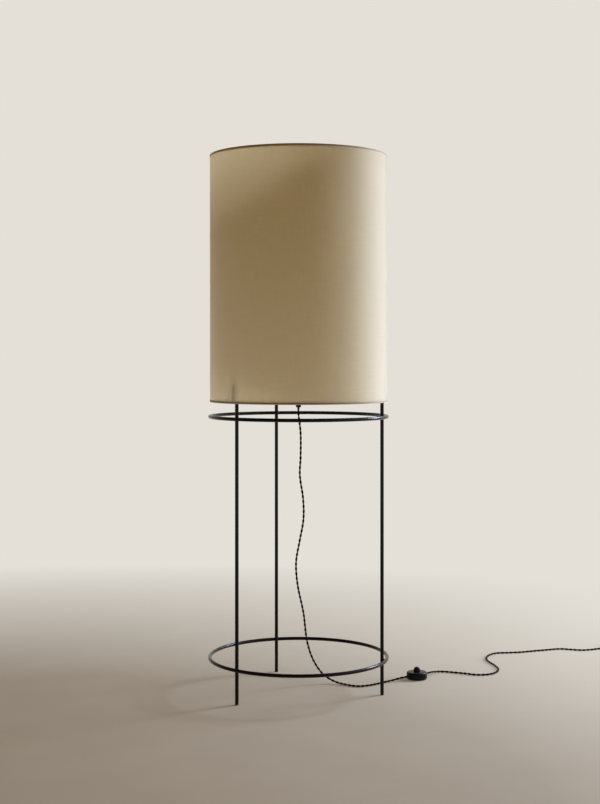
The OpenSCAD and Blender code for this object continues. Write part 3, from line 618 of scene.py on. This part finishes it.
vitrite, tree, shader = start_material("black_vitrite", "#1c1b1d", 0.2, ior=1.6)
grain(tree, shader, size_mm=1.2, depth_mm=0.03, dull=(0.14, 0.3))
dress(vitrite, "bulb_tip")

phosphor, tree, shader = start_material("phosphor_coat", "#d9a62e", 0.6, ior=1.5)
grain(tree, shader, size_mm=0.5, depth_mm=0.04, dull=(0.5, 0.75))
dress(phosphor, "bulb_filaments")

# %% [markdown]
# ## Inside the shade
#
# The liner is a stiff white polystyrene film. It scatters light through its thickness, so part of what
# falls on one side leaves on the other: a Translucent shader is mixed in. The carrier that holds the shade
# on the lamp holder is steel wire in white enamel.

# %% Liner film and enamel
LINER_THROUGH = 0.86
liner, tree, shader = start_material("white_styrene_film", "#efece4", 0.45, ior=1.59)
grain(tree, shader, size_mm=18, depth_mm=0.05)
through = add(tree, "BsdfTranslucent", {"Color": linear("#f4f0e6")})
blend = add(tree, "MixShader", {0: LINER_THROUGH, 1: shader.outputs[0], 2: through.outputs[0]})
tree.links.new(blend.outputs[0], tree.nodes["Material Output"].inputs["Surface"])
dress(liner, "shade_liner")

enamel, tree, shader = start_material("white_enamel", "#e9e7e0", 0.25, ior=1.52, Coat_Weight=0.3)
grain(tree, shader, size_mm=1.8, depth_mm=0.03, dull=(0.18, 0.34))
dress(enamel, "spider_arms", "spider_ring")

# %% [markdown]
# ## The foot switch and the plug
#
# The switch is moulded in black ABS with a satin, faintly eroded surface. Feet polish the deck and the
# button a little, so the roughness wanders. The plug is soft PVC moulded over its pins, which is duller and
# a touch greyer.

# %% Moulded plastics
abs_plastic, tree, shader = start_material("moulded_abs", "#050404", 0.4, ior=1.54, Specular_IOR_Level=0.2)
grain(tree, shader, size_mm=0.7, depth_mm=0.03, dull=(0.3, 0.48))
dress(abs_plastic, "switch_base", "switch_cover", "switch_button")

pvc, tree, shader = start_material("moulded_pvc", "#1a1a1b", 0.5, ior=1.53)
grain(tree, shader, size_mm=0.9, depth_mm=0.04, dull=(0.42, 0.6))
dress(pvc, "plug_relief", "plug_body")

# %% [markdown]
# ## The cord's sleeve
#
# Each core wears a braided sleeve of black yarn. The yarns cross in two slanting sets, which leaves small
# diamonds, and loose fibres give a faint sheen. A real yarn is about half a millimetre wide. It is drawn a
# little coarser here, so that it shows close up.

# %% Braided sleeve
YARN_MM = 0.8


def braided_yarn():
    """Black yarn in two slanting sets that cross."""
    material, tree, shader = start_material(
        "braided_black_yarn", "#070606", 0.85, ior=1.45, Specular_IOR_Level=0.12, Sheen_Weight=0.02,
    )
    metres = add(tree, "UVMap", uv_map="metres").outputs[0]
    split = add(tree, "SeparateXYZ", {0: metres})
    ridges = []
    for operation in ("ADD", "SUBTRACT"):
        slant = add(tree, "Math", {0: split.outputs[0], 1: split.outputs[1]}, operation=operation)
        turns = add(tree, "Math", {0: slant.outputs[0], 1: math.pi * per_mm(YARN_MM)}, operation="MULTIPLY")
        ridges.append(add(tree, "Math", {0: turns.outputs[0]}, operation="SINE").outputs[0])
    top = add(tree, "Math", {0: ridges[0], 1: ridges[1]}, operation="MAXIMUM")
    # The colour follows the relief: darker in the hollows between the yarns and lighter on their crowns.
    # This is painted shade.
    shade = add(tree, "ValToRGB", {"Fac": top.outputs[0]})
    shade.color_ramp.elements[0].color = linear("#040303")
    shade.color_ramp.elements[1].color = linear("#0e0d0c")
    bump = add(tree, "Bump", {"Height": top.outputs[0], "Distance": 0.12 * MM, "Strength": 0.8})
    tree.links.new(shade.outputs[0], shader.inputs["Base Color"])
    tree.links.new(bump.outputs[0], shader.inputs["Normal"])
    return material


sleeve = braided_yarn()
for piece in (lamp_cord, mains_cord):
    piece.data.materials.append(sleeve)
print("sleeve: yarns", YARN_MM, "mm wide")

# %% [markdown]
# ## The linen
#
# The cover is a plain linen weave. Linen yarn has thick places, called slubs, which draw short streaks
# along and across the drum, and its fibres stand off the surface, so the cloth brightens where light
# grazes it. The cloth lets some light through: in daylight the open top shines down the inner wall and
# shows as a lighter patch outside. Three finishes share the mesh: the wall, the folded hem, where four
# layers and a wire stop the light, and the glued inner side, which only passes light on. Real threads are
# about half a millimetre apart. They are drawn at about twice that, so that the weave shows close up.

# %% Linen, hem and glued side
THREAD_MM = 1.1
SLUB_LONG_MM, SLUB_WIDE_MM = 55, 2.4
LINEN_THROUGH = 0.5
LINEN_GLOW = "#eadfbb"
GLUED_THROUGH = 0.9


def linen(name, light, dark, sheen, through=0):
    """Plain-woven linen in two tones; through is the share of light that passes."""
    material, tree, shader = start_material(
        name, light, 0.85, ior=1.45, Sheen_Weight=sheen, Sheen_Roughness=0.5,
    )
    metres = add(tree, "UVMap", uv_map="metres").outputs[0]
    streaks = []
    for wide, high in ((SLUB_LONG_MM, SLUB_WIDE_MM), (SLUB_WIDE_MM, SLUB_LONG_MM)):
        scaled = add(tree, "Mapping", {"Vector": metres, "Scale": (per_mm(wide), per_mm(high), 1)})
        noise = add(tree, "TexNoise", {"Vector": scaled.outputs[0], "Scale": 1.0, "Detail": 2.0})
        streaks.append(noise.outputs[0])
    slubs = add(tree, "Math", {0: streaks[0], 1: streaks[1]}, operation="ADD")
    split = add(tree, "SeparateXYZ", {0: metres})
    waves = []
    for axis in (0, 1):
        turns = add(tree, "Math", {
            0: split.outputs[axis], 1: math.pi * per_mm(THREAD_MM),
        }, operation="MULTIPLY")
        waves.append(add(tree, "Math", {0: turns.outputs[0]}, operation="SINE").outputs[0])
    weave = add(tree, "Math", {0: waves[0], 1: waves[1]}, operation="MULTIPLY")
    relief = add(tree, "Math", {0: slubs.outputs[0], 1: weave.outputs[0]}, operation="ADD")
    tone = add(tree, "MapRange", {"Value": slubs.outputs[0], "From Min": 0.6, "From Max": 1.4})
    colour = add(tree, "Mix", {0: tone.outputs[0], 6: linear(dark), 7: linear(light)}, data_type="RGBA")
    bump = add(tree, "Bump", {"Height": relief.outputs[0], "Distance": 0.05 * MM, "Strength": 0.6})
    tree.links.new(colour.outputs[2], shader.inputs["Base Color"])
    tree.links.new(bump.outputs[0], shader.inputs["Normal"])
    if through:
        behind = add(tree, "BsdfTranslucent", {"Color": linear(LINEN_GLOW)})
        blend = add(tree, "MixShader", {0: through, 1: shader.outputs[0], 2: behind.outputs[0]})
        tree.links.new(blend.outputs[0], tree.nodes["Material Output"].inputs["Surface"])
    return material


def glued_side():
    """The side of the cloth that is laid on the film: it only hands light on."""
    material, tree, shader = start_material("glued_linen", "#fbf8f0", 0.9)
    behind = add(tree, "BsdfTranslucent", {"Color": linear("#fbf8f0")})
    blend = add(tree, "MixShader", {0: GLUED_THROUGH, 1: shader.outputs[0], 2: behind.outputs[0]})
    tree.links.new(blend.outputs[0], tree.nodes["Material Output"].inputs["Surface"])
    return material


shade_cover.data.materials.append(linen("sand_linen", "#cac09f", "#b5aa87", 1.0, LINEN_THROUGH))
# The hem is the same linen as the wall. Its lower colours partly stand for the wall's share of reflected
# light, since the hem passes none through. The further darkening and the browner tone are painted shade
# along the fold.
shade_cover.data.materials.append(linen("folded_linen_hem", "#8b7650", "#7d6944", 0.4))
shade_cover.data.materials.append(glued_side())
WALL_SLOT, HEM_SLOT, GLUED_SLOT = 0, 1, 2
HEM_TOP = 5.2 * MM
for face in shade_cover.data.polygons:
    row = face.index // columns
    middle = sum(shade_cover.data.vertices[v].co.z for v in face.vertices) / 4
    in_hem = middle < cover_low.z + HEM_TOP or middle > cover_high.z - HEM_TOP
    if in_hem or row in (outer_count - 1, len(loop) - 1):
        face.material_index = HEM_SLOT
    elif row < outer_count:
        face.material_index = WALL_SLOT
    else:
        face.material_index = GLUED_SLOT
print("linen on", len(shade_cover.data.polygons), "faces")

# %% [markdown]
# ## Floor, backdrop and light
#
# The floor is a pale disc that fades into an even backdrop, so no edge shows from any side. The fade is
# centred off to the front left of the lamp, so the floor is painted lighter towards the back and the right,
# a painted pool of light, and stays darker at the front left. The light comes from two soft window panes at
# the right, a little behind the lamp. The high one stands fourteen degrees above the shade's rim and shines
# through the open top onto the inner wall. The low one brightens the right flank of the drum, and
# reflections don't show it. A card at floor level stands in for light that the floor throws up, and lights
# only the cloth and its liner. The rest is even light from all round. In reflections the backdrop is dimmer
# on the camera's side, as in a room with windows on one side.

# %% Floor and backdrop
BACKDROP = "#e4e0d8"
FLOOR = "#9f957f"
FLOOR_DARK, FLOOR_LIGHT = "#9a907a", "#a49a84"
CLOUD_MM = 240
FLOOR_R = 30
# The fade's middle lies off to the front left, so the glow paints the floor lighter towards the back and the
# right: a painted pool of light.
FADE_MIDDLE = (-0.6, -1.0, 0)
FADE_FROM, FADE_TO = 1.15, 3.4


def seen_rays(tree):
    """1 for what is seen directly, in a mirror or through glass, and 0 for light that cloth scatters."""
    path = add(tree, "LightPath").outputs
    sharp = add(tree, "Math", {
        0: path["Is Glossy Ray"], 1: path["Is Transmission Ray"],
    }, operation="MAXIMUM")
    unscattered = add(tree, "Math", {0: sharp.outputs[0], 1: path["Is Diffuse Ray"]}, operation="SUBTRACT")
    seen = add(tree, "Math", {0: unscattered.outputs[0], 1: path["Is Camera Ray"]}, operation="MAXIMUM")
    return seen.outputs[0]


def floor_material():
    """Faintly clouded plaster that fades into the backdrop and can be seen through from below."""
    material, tree, shader = start_material("pale_plaster_floor", FLOOR, 0.85)
    place = add(tree, "TexCoord").outputs["Object"]
    clouds = add(tree, "TexNoise", {"Vector": place, "Scale": per_mm(CLOUD_MM), "Detail": 5.0})
    tint = add(tree, "Mix", {
        0: clouds.outputs[0], 6: linear(FLOOR_DARK), 7: linear(FLOOR_LIGHT),
    }, data_type="RGBA")
    tree.links.new(tint.outputs[2], shader.inputs["Base Color"])
    far = add(tree, "VectorMath", {0: place, 1: FADE_MIDDLE}, operation="DISTANCE")
    fade = add(tree, "MapRange", {"Value": far.outputs["Value"], "From Min": FADE_FROM, "From Max": FADE_TO})
    share = add(tree, "Math", {0: fade.outputs[0], 1: seen_rays(tree)}, operation="MULTIPLY")
    glow = add(tree, "Emission", {"Color": linear(BACKDROP), "Strength": 1.0})
    faded = add(tree, "MixShader", {0: share.outputs[0], 1: shader.outputs[0], 2: glow.outputs[0]})
    under = add(tree, "NewGeometry").outputs["Backfacing"]
    clear = add(tree, "BsdfTransparent")
    both = add(tree, "MixShader", {0: under, 1: faded.outputs[0], 2: clear.outputs[0]})
    tree.links.new(both.outputs[0], tree.nodes["Material Output"].inputs["Surface"])
    return material


FLOOR_SIDES = 96
turns = [2 * math.pi * k / FLOOR_SIDES for k in range(FLOOR_SIDES)]
ring = [(FLOOR_R * math.cos(turn), FLOOR_R * math.sin(turn), 0) for turn in turns]
floor_mesh = bpy.data.meshes.new("floor")
floor_mesh.from_pydata(ring, [], [list(range(FLOOR_SIDES))])
floor_mesh.materials.append(floor_material())
floor = bpy.data.objects.new("floor", floor_mesh)
bpy.context.scene.collection.objects.link(floor)

world = bpy.data.worlds.new("even_room")
bpy.context.scene.world = world
world.use_nodes = True
tree = world.node_tree
tree.nodes.clear()
AMBIENT = 0.38
DARK_SIDE = 0.08
TO_BRIGHT_SIDE = (0.71, 0.71, 0)
DIMMEST_AT, BRIGHTEST_AT = -0.4, 0.7
room = add(tree, "Background", {"Color": linear("#ffdcb0"), "Strength": AMBIENT})
direction = add(tree, "TexCoord").outputs["Generated"]
along = add(tree, "VectorMath", {0: direction, 1: TO_BRIGHT_SIDE}, operation="DOT_PRODUCT")
brightness = add(tree, "MapRange", {
    "Value": along.outputs["Value"], "From Min": DIMMEST_AT, "From Max": BRIGHTEST_AT,
    "To Min": DARK_SIDE, "To Max": 1.0,
})
plain = add(tree, "Math", {
    0: brightness.outputs[0], 1: add(tree, "LightPath").outputs["Is Camera Ray"],
}, operation="MAXIMUM")
backdrop = add(tree, "Background", {"Color": linear(BACKDROP), "Strength": plain.outputs[0]})
both = add(tree, "MixShader", {0: seen_rays(tree), 1: room.outputs[0], 2: backdrop.outputs[0]})
add(tree, "OutputWorld", {"Surface": both.outputs[0]})
print("floor and backdrop ready")


# %% The window panes and the floor card
def soft_light(name, place, aim, width, height, watts, colour):
    """A rectangular area light that faces a point."""
    data = bpy.data.lights.new(name, "AREA")
    data.shape = "RECTANGLE"
    data.size = width
    data.size_y = height
    data.energy = watts
    data.color = linear(colour)[:3]
    made = bpy.data.objects.new(name, data)
    made.location = place
    made.rotation_euler = (Vector(aim) - Vector(place)).to_track_quat("-Z", "Y").to_euler()
    made.visible_camera = False
    bpy.context.scene.collection.objects.link(made)
    return made


def around(turn_degrees, far, height):
    """Point at a height, turned to the right from the camera's side of the lamp."""
    turn = math.radians(turn_degrees)
    return (far * math.sin(turn), -far * math.cos(turn), height)


rim_z = cover_high.z
HIGH_FAR = 4.0
HIGH_RISE = math.radians(14)
high_at = around(120, HIGH_FAR, rim_z + HIGH_FAR * math.tan(HIGH_RISE))
soft_light(
    "high_pane", high_at, aim=(0, 0, rim_z - 0.3), width=1.1, height=1.1, watts=205, colour="#cfdcff",
)

low_at = around(106, far=3.6, height=1.0)
low_pane = soft_light(
    "low_pane", low_at, aim=(0, 0, 1.05), width=2.4, height=1.8, watts=335, colour="#d5e3ff",
)
low_pane.visible_glossy = False

card = soft_light(
    "floor_card", (0, 0, 0.005), aim=(0, 0, 1), width=1.6, height=1.6, watts=22.6, colour="#dae1ff",
)
cloth_only = bpy.data.collections.new("lit_by_the_floor_card")
for piece in (shade_cover, nodes["shade_liner"]):
    cloth_only.objects.link(piece)
card.light_linking.receiver_collection = cloth_only
print("window panes at", [round(x, 2) for x in high_at], "and", [round(x, 2) for x in low_at])

# %% [markdown]
# ## Settings
#
# The Standard view keeps every colour as it is written.

# %% Finish
scene = bpy.context.scene
scene.view_settings.view_transform = "Standard"
